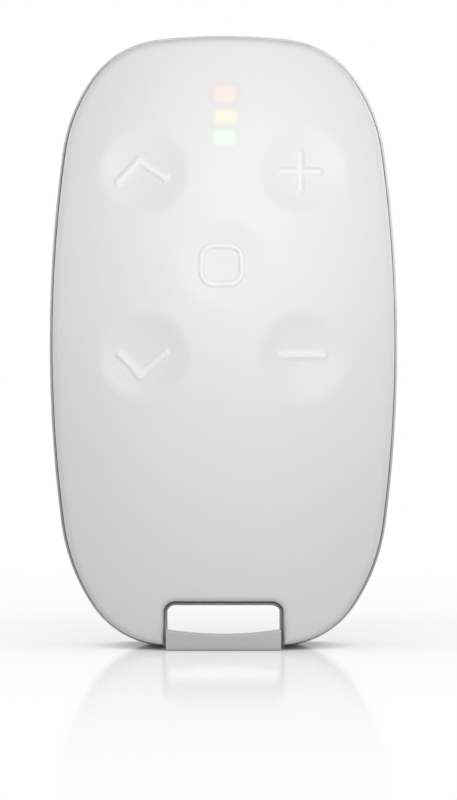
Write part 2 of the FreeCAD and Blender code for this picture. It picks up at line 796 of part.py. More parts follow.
def chip(label, side, height, x, z):
    keep(label, block(f"{label}_block", side, BOARD_BACK, f"{BOARD_BACK} + {height}", side, x, z))


def board_parts():
    chip("controller_chip", "$controller_side", "$controller_height", "-$chip_spread / 2", CHIP_LEVEL)
    chip("radio_chip", "$radio_side", "$radio_height", "$chip_spread / 2", CHIP_LEVEL)
    crystal_back = f"{BOARD_BACK} + $crystal_thickness"
    keep("crystal", block("crystal_block", "$crystal_width", BOARD_BACK, crystal_back, "$crystal_length",
                          "0", CHIP_LEVEL))
    reach = f"2 * ({UPPER_SCREW[0]} - $pillar_radius - $antenna_end_gap)"
    level = "$length - $antenna_from_top"
    strip = block("antenna_blade", reach, BOARD_BACK, f"{BOARD_BACK} + $antenna_stand", "$antenna_strip",
                  "0", level)
    gap = block("antenna_window", f"{reach} - 2 * $antenna_foot", f"{BOARD_BACK} - {PAST}",
                f"{BOARD_BACK} + $antenna_leg", f"$antenna_strip + {PAST}", "0", level)
    keep("antenna", cut("antenna_shape", strip, gap))


# Coin cell, the ring that locates it and its two contacts.

def power_parts():
    z = "$cell_height_on_board"
    radius = "$cell_diameter / 2"
    step = f"{CELL_FRONT} + $cell_cap_step"
    can = rod("cell_can", radius, step, CELL_BACK, "0", z)
    cap = rod("cell_cap", f"{radius} - $cell_cap_inset", CELL_FRONT, step, "0", z)
    keep("coin_cell", fuse("coin_cell_shape", can, cap))

    inner = f"{radius} + $holder_gap"
    ring = tube("holder_ring", f"{inner} + $holder_wall", inner, BOARD_BACK, HOLDER_BACK, "0", z)
    slot = block("holder_slot", "$holder_slot", f"{BOARD_BACK} - {PAST}", f"{HOLDER_BACK} + {PAST}",
                 f"$holder_wall + {PAST}", "0", f"{z} + {inner} + $holder_wall / 2")
    keep("battery_holder", cut("battery_holder_shape", ring, slot))

    touch = f"{z} + {radius} + $contact_sheet / 2 + $touch_gap"
    blade = block("positive_blade", "$contact_width", BOARD_BACK, f"{BOARD_BACK} + $contact_rise",
                  "$contact_sheet", "0", touch)
    foot = block("positive_foot", "$contact_width", BOARD_BACK, f"{BOARD_BACK} + $contact_sheet",
                 "$contact_foot", "0", f"{touch} + ($contact_foot - $contact_sheet) / 2")
    keep("positive_contact", fuse("positive_contact_shape", blade, foot))

    body = new_body("negative_contact_shape")
    sketch = new_sketch(body, "leaf", "YZ_Plane", z="-$spring_width / 2")
    low, high = BOARD_BACK, f"{CELL_FRONT} - $touch_gap"
    low_back, high_front = f"{low} + $contact_sheet", f"{high} - $contact_sheet"
    foot_end, tip, bend = f"{z} - $spring_length / 2", f"{z} + $spring_length / 2", f"{z} + $spring_flat"
    draw_path(sketch, [(low, foot_end), (low_back, foot_end), (low_back, z), (high, bend), (high, tip),
                       (high_front, tip), (high_front, bend), (low, z)])
    leaf = body.newObject("PartDesign::Pad", "leaf_sheet")
    leaf.Profile = sketch
    bind(leaf, Length="$spring_width")
    keep("negative_contact", body)


# The sealing cord that lies between the inner frame and the rear housing.

def case_band(name, inset, width, low, high):
    """A band of the case outline, notch included, between inset and inset + width."""
    within = f"({inset} + {width})"
    outer = slab(f"{name}_outer", inset, low, high, inset)
    inner = slab(f"{name}_inner", within, f"({low}) - {PAST}", f"({high}) + {PAST}", within)
    return cut(name, outer, inner)


def sealing_cord():
    keep("case_seal", case_band("case_seal_shape", SEAL_INSET, "$seal_width", "0", "$seal_height"))


# The rear housing, in one with the keyring bar.

def hollow_top(half):
    """The first side of a path whose top sinks from its ends to the middle."""
    radius = f"((pow({half}; 2) + pow($bar_rise; 2)) / (2 * $bar_rise))"
    return 0, ("0", "$bar_height"), radius


def keyring_bar():
    """The bar reaches forward from the rear housing and fills the notch in the cover."""
    body = new_body("keyring_bar")
    half = f"({OPENING_HALF} - $bar_side_gap)"
    rise = f"($bottom_radius - {BASE_DROP} - sqrt(pow($bottom_radius; 2) - pow({half}; 2)))"
    sketch = new_sketch(body, "section", z="-$seam_depth")
    draw_path(sketch, [(f"-{half}", BAR_END), (half, BAR_END), (half, rise), ("$base_flat / 2", "0"),
                       ("-$base_flat / 2", "0"), (f"-{half}", rise)], [hollow_top(half)])
    raised = pad(body, sketch, "$bar_reach + $seam_depth")
    doc.recompute()
    front = -value("$bar_reach")

    def on_front_rim(edge):
        """The upper and lower edges of the bar's front face, without the two at its ends."""
        box = edge.BoundBox
        return abs(box.YMax - front) < NEAR and box.XLength > box.ZLength

    fillet(body, raised, edges_of(raised.Shape, on_front_rim), "$bar_edge")
    return body


def opening_tool():
    """The keyring opening: hollow below, where the bar is, and rounded at its upper corners."""
    body = new_body("keyring_opening")
    sketch = new_sketch(body, "window")
    draw_rounded_rectangle(sketch, OPENING_HALF, BAR_END, "$opening_top", "$opening_corner", open_foot=True)
    pad(body, sketch, f"2 * {FAR}", both=True)
    return body


def hollow_tool():
    """The dip of the bar's top below the ends of the opening, which also sinks to the back."""
    body = new_body("bar_hollow")
    sketch = new_sketch(body, "dip")
    side, _, radius = hollow_top(OPENING_HALF)
    draw_path(sketch, [(f"-{OPENING_HALF}", "0"), (OPENING_HALF, "0"), (OPENING_HALF, "$bar_clearing"),
                       (f"-{OPENING_HALF}", "$bar_clearing")], [(side, ("0", "-$bar_rise"), radius)])
    pad(body, sketch, f"2 * {FAR}", both=True)
    body.Placement = FreeCAD.Placement(Vector(), FreeCAD.Rotation(Vector(1, 0, 0), -value("$bar_slope")))
    place(body, "0", "-$bar_reach", BAR_END)
    return body


def lug_body(name, width, reach, low, high, turn="0"):
    """Three blocks around the battery, used for the cover's lugs and for the slots they pass."""
    body = new_body(name)
    sketch = new_sketch(body, "lug", z=f"-({high})")
    near = "$spigot_radius - $spigot_wall / 2"
    draw_path(sketch, [(f"-({width}) / 2", near), (f"({width}) / 2", near),
                       (f"({width}) / 2", reach), (f"-({width}) / 2", reach)])
    lug = pad(body, sketch, f"({high}) - ({low})")
    doc.recompute()
    ring = body.newObject("PartDesign::PolarPattern", "round_the_lid")
    ring.Originals = [lug]
    ring.Axis = (origin_feature(body, "Y_Axis"), [""])
    ring.Angle = 360
    ring.Occurrences = LUGS
    body.Tip = ring
    body.Placement = FreeCAD.Placement(Vector(), FreeCAD.Rotation(Vector(0, 1, 0), value(turn)))
    place(body, "0", "0", "$cell_height_on_board")
    return body


def rear_housing(blank):
    z = "$cell_height_on_board"
    inner_radius = "$lid_radius + $lid_gap"
    ring_out = f"{inner_radius} + $well_ring_wall"
    stays = [rod("well_ring", ring_out, "$well_ring_reach", "$back_depth", "0", z)]
    holes = [
        rod("well_bore", inner_radius, f"$well_ring_reach - {PAST}", LEDGE_FRONT, "0", z),
        rod("lid_bore", inner_radius, LEDGE_BACK, f"$back_depth + {FAR}", "0", z),
        rod("ledge_bore", "$spigot_radius + $lid_gap", f"$well_ring_reach - {PAST}", "$back_depth", "0", z),
        lug_body("lug_slots", "$lug_width + 2 * $lug_slot_gap", inner_radius, LEDGE_FRONT, "$lid_seat",
                 "$lid_turn"),
    ]
    for name, (x, height) in SCREWS.items():
        stays.append(rod(f"{name}_pillar", "$pillar_radius", BOARD_BACK, "$back_depth", x, height))
        stays.append(rod(f"{name}_nose", "$pillar_nose_radius", "$touch_gap", "$back_depth", x, height))
        holes.append(rod(f"{name}_bore", "$screw_radius + $screw_play", f"-{PAST}", "$back_depth",
                         x, height))
        holes.append(rod(f"{name}_head_bore", "$screw_head_radius + $screw_head_gap", "$screw_seat",
                         f"$back_depth + {FAR}", x, height))
    space = slab("rear_space", "$rear_wall", f"-{PAST}", "$back_depth", "$rear_wall", "back", "$rear_face")
    void = cut("rear_void", space, *stays)
    seam = case_band("seam_channel", "$lip_width", "$seam_gap", f"-{PAST}", "$seam_depth")
    groove = case_band("seal_groove", FRAME_INSET, "$seal_width + 2 * $seal_side_gap", f"-{PAST}",
                       "$seal_height")
    below = block("below_base", "$width", f"-{FAR}", f"{FAR}", "$length", "0", f"-{MIDDLE}")
    shell = cut("rear_shell", blank, void, seam, groove, *holes, below)
    with_bar = fuse("rear_with_bar", shell, keyring_bar())
    return keep("rear_housing", cut("rear_housing_shape", with_bar, opening_tool(), hollow_tool()))


def rear_blank():
    body = slab("rear_blank", "0", "0", f"$back_depth + {PAST}", None, "back")
    dome = body.Tip
    fillet(body, dome, pillow_edges(dome, "back"), "$rear_edge")
    return body


# The round battery cover, with a coin slot and three bayonet lugs, and its flat seal.

def battery_cover(blank):
    z = "$cell_height_on_board"
    lug_back = f"({LEDGE_FRONT} - $ledge_gap)"
    disc = rod("lid_disc", "$lid_radius", "$lid_seat", f"$back_depth + {PAST}", "0", z)
    spigot = tube("lid_spigot", "$spigot_radius", "$spigot_radius - $spigot_wall",
                  "$lid_seat - $spigot_reach", "$lid_seat", "0", z)
    blocks = lug_body("lid_lug_blocks", "$lug_width", "$lid_radius", f"{lug_back} - $lug_height", lug_back)
    lug_round = rod("lug_round", "$lid_radius - $lid_gap / 2", "0", "$back_depth", "0", z)
    lugs = common("lid_lugs", blocks, lug_round)
    lid = common("lid_pillowed", fuse("lid_whole", disc, spigot, lugs), blank)
    slot = block("coin_slot", "$coin_slot_length", "$back_depth - $coin_slot_depth", f"$back_depth + {FAR}",
                 "$coin_slot_width", "0", z)
    keep("battery_cover", cut("battery_cover_shape", lid, slot))
    keep("battery_cover_seal", tube("lid_seal", "$lid_radius - $lid_seal_gap",
                                    "$spigot_radius + $lid_seal_gap", LEDGE_BACK, "$lid_seat - $touch_gap",
                                    "0", z))


# Four self-tapping screws that hold the case together.

def case_screws():
    pieces = []
    floor, above = f"{SCREW_HEAD_BACK} - $drive_depth", f"{SCREW_HEAD_BACK} + {PAST}"
    for name, (x, z) in SCREWS.items():
        head = rod(f"{name}_screw_head", "$screw_head_radius", "$screw_seat", SCREW_HEAD_BACK, x, z)
        shank = rod(f"{name}_screw_shank", "$screw_radius", "-$screw_reach", "$screw_seat", x, z)
        drive = block(f"{name}_drive", "$drive_length", floor, above, "$drive_width", x, z)
        cross = block(f"{name}_drive_cross", "$drive_width", floor, above, "$drive_length", x, z)
        pieces.append(cut(f"{name}_screw", fuse(f"{name}_screw_whole", head, shank), drive, cross))
    group = doc.addObject("Part::Compound", "case_screw_group")
    group.Links = pieces
    keep("case_screws", group, len(pieces))


# Build it all.

cover = cover_blank()
front_cover(cover)
inner_frame()
for key_name in KEYS:
    key(key_name, cover)
    switch(key_name)
status_lights()
circuit_board()
board_parts()
power_parts()
sealing_cord()
rear = rear_blank()
rear_housing(rear)
battery_cover(rear)
case_screws()

# Check every feature and sub-part, then write one file for each.

doc.recompute()
faults = [f"{item.Name}: {item.State}" for item in doc.Objects
          if "Invalid" in item.State or "Error" in item.State]
for label, (item, solids) in nodes.items():
    shape = item.Shape
    if shape.isNull() or not shape.isValid():
        faults.append(f"{label}: no valid shape")
    elif len(shape.Solids) != solids:
        faults.append(f"{label}: {len(shape.Solids)} solids, not {solids}")
if faults:
    raise RuntimeError("; ".join(faults))

os.makedirs("parts", exist_ok=True)
for label, (item, solids) in nodes.items():
    item.Shape.exportStep(f"parts/{label}.step")
    print(label, round(item.Shape.Volume, 2))
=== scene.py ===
import json
import math
from collections import namedtuple

import bmesh
import bpy
from mathutils import Matrix, Vector
from mathutils.kdtree import KDTree


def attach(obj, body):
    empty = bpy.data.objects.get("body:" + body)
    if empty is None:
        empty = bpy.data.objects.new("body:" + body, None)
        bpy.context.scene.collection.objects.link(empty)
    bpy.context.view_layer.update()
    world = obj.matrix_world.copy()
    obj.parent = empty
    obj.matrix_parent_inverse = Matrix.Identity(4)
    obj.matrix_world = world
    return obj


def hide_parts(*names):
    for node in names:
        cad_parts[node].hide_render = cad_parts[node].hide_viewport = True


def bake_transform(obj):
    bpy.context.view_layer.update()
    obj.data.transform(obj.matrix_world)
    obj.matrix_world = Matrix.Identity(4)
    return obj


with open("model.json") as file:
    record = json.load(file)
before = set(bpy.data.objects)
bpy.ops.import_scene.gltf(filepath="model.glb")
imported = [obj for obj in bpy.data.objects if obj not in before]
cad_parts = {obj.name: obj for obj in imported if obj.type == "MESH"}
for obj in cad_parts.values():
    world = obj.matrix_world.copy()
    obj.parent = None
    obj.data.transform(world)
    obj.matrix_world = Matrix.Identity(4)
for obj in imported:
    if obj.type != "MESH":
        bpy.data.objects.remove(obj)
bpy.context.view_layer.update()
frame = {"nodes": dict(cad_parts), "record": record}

# Alarm remote control: a white soft-touch cover that runs unbroken over five dished keys, three status
# lights that glow through it, and a grey rear housing with the keyring bar. X runs across, Z along the
# length, the front faces -Y. Sizes are in millimetres until a piece is made, and metres after that. Points
# that lie within a hair of each other count as one.

MM = 0.001
HAIR = 0.001

# Outline and pillow of the case, as the CAD model has them; turns are in degrees.
LENGTH, WIDTH = 66.7, 38.0
WIDEST = LENGTH / 2 - 0.15
BASE_FLAT = 12.0
TOP_RADIUS, SIDE_RADIUS, BOTTOM_RADIUS = 61.0, 153.0, 92.0
TURNS = {"top": 6.8, "shoulder": 48.0, "cheek": 27.4, "jaw": 26.6, "heel": 51.8, "bottom": 4.2}
FRONT_DEPTH, CROSS_RADIUS, LONG_RADIUS = 6.5, 75.0, 220.0

# The cover's wall leans in from the seam, and a rounded edge and a narrow band lie inside it.
WALL_INSET, WALL_TAPER, WALL_HEIGHT = 0.34, 0.045, 4.2
EDGE_INSET = WALL_INSET + WALL_TAPER * WALL_HEIGHT
COVER_EDGE, COVER_WALL, BAND_WIDTH = 0.72, 0.5, 1.0
NOTCH_HALF, NOTCH_TOP, NOTCH_CORNER = 6.52, 5.33, 1.4

# The housing's lip: its rounding, and the heights between which painted light turns it pale.
LIP_EDGE, LIP_LIGHT_FADE = 0.13, (14.0, 40.0)

# Keys: place, depth of the dish, radius of the cap that moves, radius where the cover begins.
Key = namedtuple("Key", "x z depth reach start")
KEYS = {
    "up": Key(-8.5, 51.6, 0.7, 3.4, 3.9),
    "plus": Key(8.5, 51.6, 0.62, 3.4, 3.9),
    "centre": Key(0.0, 41.7, 0.4, 3.3, 3.95),
    "down": Key(-8.5, 31.7, 0.88, 3.4, 3.9),
    "minus": Key(8.5, 31.7, 0.88, 3.4, 3.9),
}

# A dish is a round bowl out to the bend and eases out at its radius. A cap's underside follows its dish, no
# deeper than the inner frame allows, and a post goes on from it to a fixed Y. The share of a soft skin's
# depth that a stretch would leave still at either edge goes into two points that are not used.
DISH_BEND, DISH_RADIUS = 3.9, 5.3
CAP_WALL, DEEPEST_CAP = 0.8, 0.75
POST_RADIUS, POST_END = 1.5, -2.0
SKIN_WALL, SKIN_REST = 0.4, 0.1

# Raised signs: height, strokes, distances over which the flank falls, width of the round in a bend.
SIGN_HEIGHT = {"up": 0.22, "plus": 0.27, "centre": 0.22, "down": 0.24, "minus": 0.24}
SIGN_STROKES = {
    "up": [((-11.4, 50.4), (-9.1, 52.8)), ((-9.1, 52.8), (-6.25, 50.88))],
    "plus": [((6.2, 51.6), (10.3, 51.6)), ((8.25, 49.65), (8.25, 53.55))],
    "down": [((-11.2, 32.0), (-8.95, 29.8)), ((-8.95, 29.8), (-6.2, 32.15))],
    "minus": [((6.45, 31.9), (10.7, 31.9))],
}
SIGN_FLANKS = {"up": (0.1, 0.55), "plus": (0.06, 0.58), "centre": (0.06, 0.42), "down": (0.1, 0.55),
               "minus": (0.12, 0.65)}
SIGN_BENDS = {"up": 0.35, "down": 0.9}
RING_CENTRE, RING_HALF, RING_TALL, RING_CORNER = (-0.2, 41.53), 2.15, 2.05, 1.35

# Lights: place, half the height, tint of the cover where it glows, glow, tint of its halo; both tints are
# the glow painted into the cover's colour. The light is even inside its core, and it and its halo each
# fade between two distances from that.
LIGHTS = {
    "red": (0.15, 59.97, 0.85, (1.0, 0.985, 0.94), (0.155, 0.02, 0.0), (1.0, 0.955, 0.945)),
    "yellow": (0.2, 57.45, 0.7, (1.0, 1.0, 0.94), (0.12, 0.085, 0.0), (1.0, 0.99, 0.975)),
    "green": (0.1, 55.2, 0.8, (1.0, 1.0, 1.0), (0.02, 0.14, 0.05), (0.965, 1.0, 0.96)),
}
LIGHT_CORE, LIGHT_ROUND = 0.65, 0.5
LIGHT_FADE, HALO_FADE = (0.2, 0.85), (0.7, 1.3)

# Fineness of the meshes: steps along each outline arc, along the side, corner and top of the notch, round
# the cover's edge, and round a key and across its rings.
ARC_STEPS = [14, 26, 24, 90, 30, 28]
SIDE_STEPS, CORNER_STEPS, TOP_STEPS = 8, 10, 14
EDGE_STEPS, AROUND = 8, 192
CAP_STEPS, SKIN_STEPS, COLLAR_STEPS = 68, 20, 26

# The cover's even grid: the radius of the collar that it leaves round a key, its spacing, and the room
# that it leaves to the band's vertices, to the collars and the band's line, and to the foot.
COLLAR = 5.2
GRID_STEP, GRID_GAP, GRID_ROOM, FOOT_ROOM = 0.5, 0.35, 0.3, 1.0

# Edges sharper than these angles, in radians, stay hard; the lip is the sharp edge on the outline, and a
# point as near as this to a line lies on it.
HARD_ANGLE, HOUSING_ANGLE, LIP_ANGLE = math.radians(50), math.radians(28), 1.2
ON_LINE = 0.02


# Shapes of the front.

def pillow(x, z):
    """Y of the pillowed front face, in millimetres."""
    reach = CROSS_RADIUS - LONG_RADIUS + math.sqrt(LONG_RADIUS ** 2 - (z - LENGTH / 2) ** 2)
    return CROSS_RADIUS - FRONT_DEPTH - math.sqrt(reach ** 2 - x ** 2)


def front_normal(x, z):
    """Outward normal of the pillow at x, z."""
    rise = (z - LENGTH / 2) / LONG_RADIUS
    lean = math.sqrt(1 - rise ** 2)
    reach = CROSS_RADIUS - LONG_RADIUS + LONG_RADIUS * lean
    return Vector((lean * x / reach, -lean * math.sqrt(1 - (x / reach) ** 2), rise))


def depth_below(point, x, z):
    """Depth of a point under the plane that touches the pillow at x, z."""
    return -(point - Vector((x, pillow(x, z), z))).dot(front_normal(x, z))


def dish(x, z):
    """How far the soft dish of a key lies below the pillow at x, z: a round bowl out to the bend, and
    beyond it a slope that eases out to nothing, as one smooth curve."""
    shoulder = DISH_RADIUS - DISH_BEND
    whole = DISH_BEND ** 2 / 2 + shoulder * (DISH_BEND / 2 + 0.15 * shoulder)
    for key in KEYS.values():
        out = math.hypot(x - key.x, z - key.z)
        if out < DISH_RADIUS:
            t = max(0, (out - DISH_BEND) / shoulder)
            rest = DISH_BEND * (0.5 - t + t ** 3 - t ** 4 / 2)
            rest += shoulder * (0.15 - t ** 2 / 2 + 0.75 * t ** 4 - 0.4 * t ** 5)
            bowl = max(0, DISH_BEND ** 2 - out ** 2) / 2
            return key.depth * (bowl + shoulder * rest) / whole
    return 0.0


def smooth_step(value, low, high):
    share = min(max((value - low) / (high - low), 0), 1)
    return share * share * (3 - 2 * share)


def stroke_distance(x, z, a, b):
    """Distance from x, z to the line from a to b."""
    along = (b[0] - a[0], b[1] - a[1])
    share = ((x - a[0]) * along[0] + (z - a[1]) * along[1]) / (along[0] ** 2 + along[1] ** 2)
    share = min(max(share, 0), 1)
    return math.hypot(x - a[0] - share * along[0], z - a[1] - share * along[1])


def ring_distance(x, z):
    """Distance from x, z to the rounded square of the centre key."""
    dx = abs(x - RING_CENTRE[0]) - RING_HALF + RING_CORNER
    dz = abs(z - RING_CENTRE[1]) - RING_TALL + RING_CORNER
    outside = math.hypot(max(dx, 0), max(dz, 0)) + min(max(dx, dz), 0)
    return abs(outside - RING_CORNER)


def sign(name, x, z):
    """Height of the raised sign of a key at x, z."""
    if name == "centre":
        near = ring_distance(x, z)
    else:
        gaps = sorted(stroke_distance(x, z, *stroke) for stroke in SIGN_STROKES[name])
        near = gaps[0]
        if name in SIGN_BENDS:
            share = max(SIGN_BENDS[name] - (gaps[1] - gaps[0]), 0) / SIGN_BENDS[name]
            near -= SIGN_BENDS[name] * share * share / 4
    return SIGN_HEIGHT[name] * (1 - smooth_step(near, *SIGN_FLANKS[name]))


# The outline.

def corner_radii(half, drop, turns, end_radius, side_radius):
    """Radii of the two arcs between an end arc and a side arc, so that the quarter closes."""
    headings = [0, turns[0], turns[0] + turns[1], sum(turns), 90]
    headings = [math.radians(angle) for angle in headings]
    out = [math.sin(b) - math.sin(a) for a, b in zip(headings, headings[1:])]
    down = [math.cos(a) - math.cos(b) for a, b in zip(headings, headings[1:])]
    left_out = half - end_radius * out[0] - side_radius * out[3]
    left_down = drop - end_radius * down[0] - side_radius * down[3]
    scale = out[1] * down[2] - out[2] * down[1]
    return ((left_out * down[2] - out[2] * left_down) / scale,
            (out[1] * left_down - left_out * down[1]) / scale)


def outline_arcs():
    """Centre, radius, first and last heading of each arc of the half outline, from the top to the heel."""
    turns = list(TURNS.values())
    foot = math.sqrt(BOTTOM_RADIUS ** 2 - BASE_FLAT ** 2 / 4) - BOTTOM_RADIUS
    half = WIDTH / 2
    shoulder, cheek = corner_radii(half, LENGTH - WIDEST, turns[:3], TOP_RADIUS, SIDE_RADIUS)
    heel, jaw = corner_radii(half, WIDEST - foot, turns[:2:-1], BOTTOM_RADIUS, SIDE_RADIUS)
    ends = [0, turns[0], sum(turns[:2]), sum(turns[:3]),
            180 - sum(turns[3:]), 180 - sum(turns[4:]), 180 - turns[5]]
    ends = [math.radians(angle) for angle in ends]
    arcs, x, z = [], 0.0, LENGTH
    for radius, start, end in zip([TOP_RADIUS, shoulder, cheek, SIDE_RADIUS, jaw, heel], ends, ends[1:]):
        centre = (x - radius * math.sin(start), z - radius * math.cos(start))
        arcs.append((centre, radius, start, end))
        x, z = centre[0] + radius * math.sin(end), centre[1] + radius * math.cos(end)
    return arcs


OUTLINE = outline_arcs()


def in_notch(x, z, room=0.0):
    """Whether x, z lies in the keyring notch, made wider by some room."""
    return abs(x) < NOTCH_HALF + room and z < NOTCH_TOP + room


def beside_arcs(x, z, slack=0.0):
    """Direction from its centre, and depth inside its line, for each outline arc that x, z lies beside;
    slack, in radians, lets a point lie a little past an arc's end."""
    for centre, radius, start, end in OUTLINE:
        across, up = abs(x) - centre[0], z - centre[1]
        if start - slack <= math.atan2(across, up) <= end + slack:
            out = math.hypot(across, up)
            yield (across / out, up / out), radius - out


def outline_normal(x, z):
    """Outward normal of the outline at a point on the cover's edge."""
    beside = list(beside_arcs(x, z, 0.02))
    if not beside:
        return Vector((0, 0, -1))
    out, _ = min(beside, key=lambda item: abs(EDGE_INSET - item[1]))
    return Vector((math.copysign(out[0], x) if x else 0, 0, out[1]))


def inside_outline(x, z):
    """Whether x, z lies well inside the edge band of the cover."""
    return all(depth >= EDGE_INSET + BAND_WIDTH + GRID_ROOM for _, depth in beside_arcs(x, z))


def on_outline(x, z):
    """Whether x, z lies on the outline of the case, beside the keyring bar or above it."""
    if z < 1.0 and abs(x) < NOTCH_HALF:
        return False
    return any(abs(depth) < ON_LINE for _, depth in beside_arcs(x, z, 0.001))


# Steps that several pieces share.

def edges_within(verts):
    """Edges that run between some of these vertices."""
    chosen = set(verts)
    return list({edge for vert in verts for edge in vert.link_edges
                 if all(end in chosen for end in edge.verts)})


def arc_on(bm, tip, centre, angle, steps):
    """Carry a chain of edges on from its last vertex, along an arc about centre; returns the new end."""
    made = bmesh.ops.spin(bm, geom=[tip], cent=(centre[0], 0, centre[1]), axis=(0, 1, 0), angle=angle,
                          steps=steps, dvec=(0, 0, 0), use_merge=False, use_duplicate=False)
    return next(item for item in made["geom_last"] if isinstance(item, bmesh.types.BMVert))


def line_on(bm, tip, target, steps):
    """Carry a chain of edges on from its last vertex, straight to target; returns the new end."""
    step = (Vector((target[0], 0, target[1])) - tip.co) / steps
    for _ in range(steps):
        tip = bmesh.ops.extrude_vert_indiv(bm, verts=[tip])["verts"][0]
        tip.co += step
    return tip


def extrude_edges(bm, edges):
    """Extrude open edges in place; returns the new vertices and the edges between them."""
    made = bmesh.ops.extrude_edge_only(bm, edges=edges)["geom"]
    return ([item for item in made if isinstance(item, bmesh.types.BMVert)],
            [item for item in made if isinstance(item, bmesh.types.BMEdge)])


def collar(bm, key, inner, outer, steps):
    """Flat ring of faces about a key between two radii; returns its innermost and outermost vertices."""
    before = set(bm.verts)
    first = bm.verts.new((key.x + inner, 0, key.z))
    line_on(bm, first, (key.x + outer, key.z), steps)
    ray = [vert for vert in bm.verts if vert not in before]
    bmesh.ops.spin(bm, geom=ray + edges_within(ray), cent=(key.x, 0, key.z), axis=(0, 1, 0),
                   angle=math.tau, steps=AROUND, dvec=(0, 0, 0), use_merge=True, use_duplicate=False)
    made = [vert for vert in bm.verts if vert not in before]
    bmesh.ops.remove_doubles(bm, verts=made, dist=HAIR / 2)
    out = {vert: math.hypot(vert.co.x - key.x, vert.co.z - key.z) for vert in made if vert.is_valid}
    return ([vert for vert in out if abs(out[vert] - inner) < HAIR],
            [vert for vert in out if abs(out[vert] - outer) < HAIR])


def drape(verts):
    """Lay flat vertices on the dished front."""
    for vert in verts:
        vert.co.y = pillow(vert.co.x, vert.co.z) + dish(vert.co.x, vert.co.z)


def face_front(bm):
    """Turn the faces of an open front sheet to -Y."""
    bmesh.ops.recalc_face_normals(bm, faces=bm.faces)
    if sum(face.normal.y * face.calc_area() for face in bm.faces) > 0:
        bmesh.ops.reverse_faces(bm, faces=bm.faces)


def finish_piece(bm, name, slot, angle=HARD_ANGLE):
    """Turn a bmesh in millimetres into an object in metres, smooth but for its hard edges."""
    bmesh.ops.scale(bm, vec=(MM, MM, MM), verts=bm.verts)
    for edge in bm.edges:
        edge.smooth = not edge.is_boundary and edge.calc_face_angle(0) < angle
    mesh = bpy.data.meshes.new(name)
    bm.to_mesh(mesh)
    bm.free()
    for face in mesh.polygons:
        face.use_smooth = True
    piece = bpy.data.objects.new(name, mesh)
    bpy.context.scene.collection.objects.link(piece)
    mesh.materials.append(finishes[slot])
    return piece


# The cover.

def cover_loop(bm, inset, widen):
    """Closed loop of the cover's outline, set in from the case, with the keyring notch widened."""
    before = set(bm.verts)
    tip = bm.verts.new((0, 0, LENGTH - inset))
    half, top, corner = NOTCH_HALF + widen, NOTCH_TOP + widen, NOTCH_CORNER + widen
    for (centre, radius, start, end), steps in zip(OUTLINE, ARC_STEPS):
        if end == OUTLINE[-1][3]:
            end = math.pi - math.asin((half - centre[0]) / (radius - inset))
        tip = arc_on(bm, tip, centre, end - start, steps)
    tip = line_on(bm, tip, (half, top - corner), SIDE_STEPS)
    tip = arc_on(bm, tip, (half - corner, top - corner), -math.pi / 2, CORNER_STEPS)
    line_on(bm, tip, (0, top), TOP_STEPS)
    half_loop = [vert for vert in bm.verts if vert not in before]
    geometry = half_loop + list({edge for vert in half_loop for edge in vert.link_edges})
    bmesh.ops.mirror(bm, geom=geometry, axis="X", merge_dist=HAIR)
    bmesh.ops.remove_doubles(bm, verts=[v for v in bm.verts if v not in before], dist=HAIR)
    return [vert for vert in bm.verts if vert not in before]


def edge_band(bm):
    """Rounded edge and band of the cover; returns its rings of vertices, each with its drop, and its last
    ring's edges."""
    rings = []
    for step in range(EDGE_STEPS + 1):
        turn = math.pi / 2 * step / EDGE_STEPS
        inset = COVER_EDGE * (1 - math.cos(turn))
        rings.append((cover_loop(bm, EDGE_INSET + inset, inset), COVER_EDGE * (1 - math.sin(turn))))
    rings.append((cover_loop(bm, EDGE_INSET + BAND_WIDTH, BAND_WIDTH), 0.0))
    loops = [edges_within(ring) for ring, _ in rings]
    for near, far in zip(loops, loops[1:]):
        bmesh.ops.bridge_loops(bm, edges=near + far)
    return rings, loops[-1]


def front_grid(bm, band):
    """Even grid inside the band and round the keys; returns the groups of its open edges, longest first."""
    guards = KDTree(len(band))
    for index, vert in enumerate(band):
        guards.insert((vert.co.x, 0, vert.co.z), index)
    guards.balance()
    middle = Vector((0, 0, LENGTH / 2))
    turn = Matrix.Translation(middle) @ Matrix.Rotation(math.pi / 2, 4, "X")
    turn = turn @ Matrix.Diagonal((WIDTH / 2, LENGTH / 2, 1, 1))
    grid = bmesh.ops.create_grid(bm, x_segments=int(WIDTH / GRID_STEP), y_segments=int(LENGTH / GRID_STEP),
                                 size=1, matrix=turn)["verts"]
    spare = []
    for vert in grid:
        x, z = vert.co.x, vert.co.z
        near, _, gap = guards.find((x, 0, z))
        beyond = (Vector((x, 0, z)) - near).dot(near - middle) > 0
        outside = beyond and z > NOTCH_TOP + BAND_WIDTH + FOOT_ROOM or not inside_outline(x, z)
        low = z < WALL_INSET + BAND_WIDTH + FOOT_ROOM or in_notch(x, z, BAND_WIDTH)
        on_key = any(math.hypot(x - key.x, z - key.z) < COLLAR + GRID_ROOM for key in KEYS.values())
        if gap < GRID_GAP or outside or low or on_key:
            spare.append(vert)
    bmesh.ops.delete(bm, geom=spare, context="VERTS")
    grid = [vert for vert in grid if vert.is_valid]
    bmesh.ops.delete(bm, geom=[vert for vert in grid if not vert.link_faces], context="VERTS")
    grid = [vert for vert in grid if vert.is_valid]
    return sorted(chains([edge for edge in edges_within(grid) if edge.is_boundary]), key=len, reverse=True)


def chains(edges):
    """Sort edges into groups that hang together."""
    left, groups = set(edges), []
    while left:
        group, front = [], [left.pop()]
        while front:
            item = front.pop()
            group.append(item)
            for vert in item.verts:
                for other in vert.link_edges:
                    if other in left:
                        left.remove(other)
                        front.append(other)
        groups.append(group)
    return groups


def centre_gap(edges, key):
    """Distance from the middle of a group of edges to a key."""
    places = [vert.co for edge in edges for vert in edge.verts]
    return math.hypot(sum(place.x for place in places) / len(places) - key.x,
                      sum(place.z for place in places) / len(places) - key.z)


